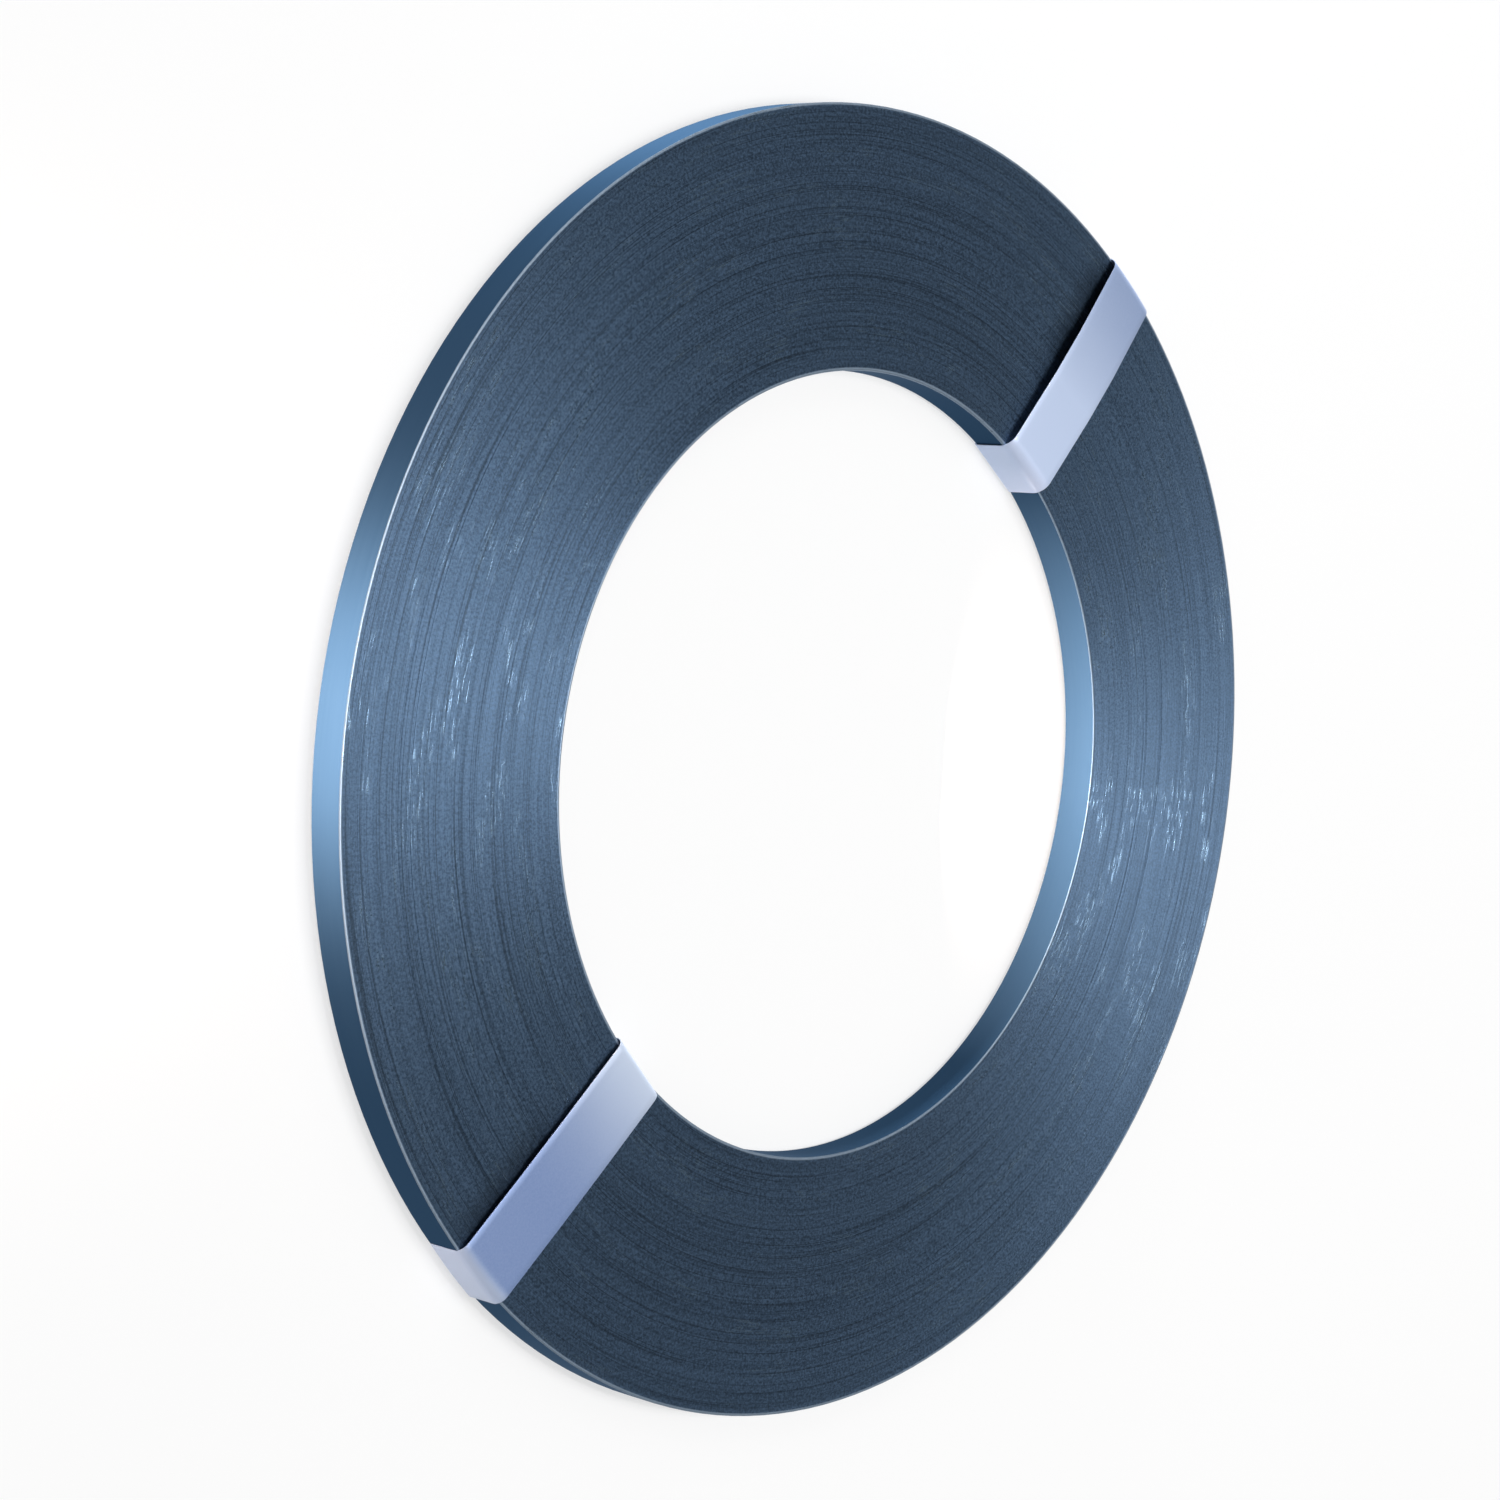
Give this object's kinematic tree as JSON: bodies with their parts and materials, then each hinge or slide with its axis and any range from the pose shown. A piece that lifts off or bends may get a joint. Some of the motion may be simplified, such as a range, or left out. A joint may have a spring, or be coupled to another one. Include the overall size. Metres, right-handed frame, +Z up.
{
  "type": "steel strapping coil",
  "caption": "Flat ribbon-wound coil of blued steel strapping with an open bore, lying on its end and held together by flat steel ties folded round its section.",
  "frame": {"origin": "centre of the bore, midway between the coil's two ends", "axes": "+Z up along the coil's axis, from the back end that it lies on to the front end"},
  "size_m": [0.6749, 0.675, 0.0288],
  "materials": {
    "blued_steel": "blued, waxed",
    "tie_steel": "bright, smooth"
  },
  "bodies": {
    "root": {"strap_coil": "blued_steel", "upper_tie": "tie_steel", "lower_tie": "tie_steel"}
  },
  "joints": []
}
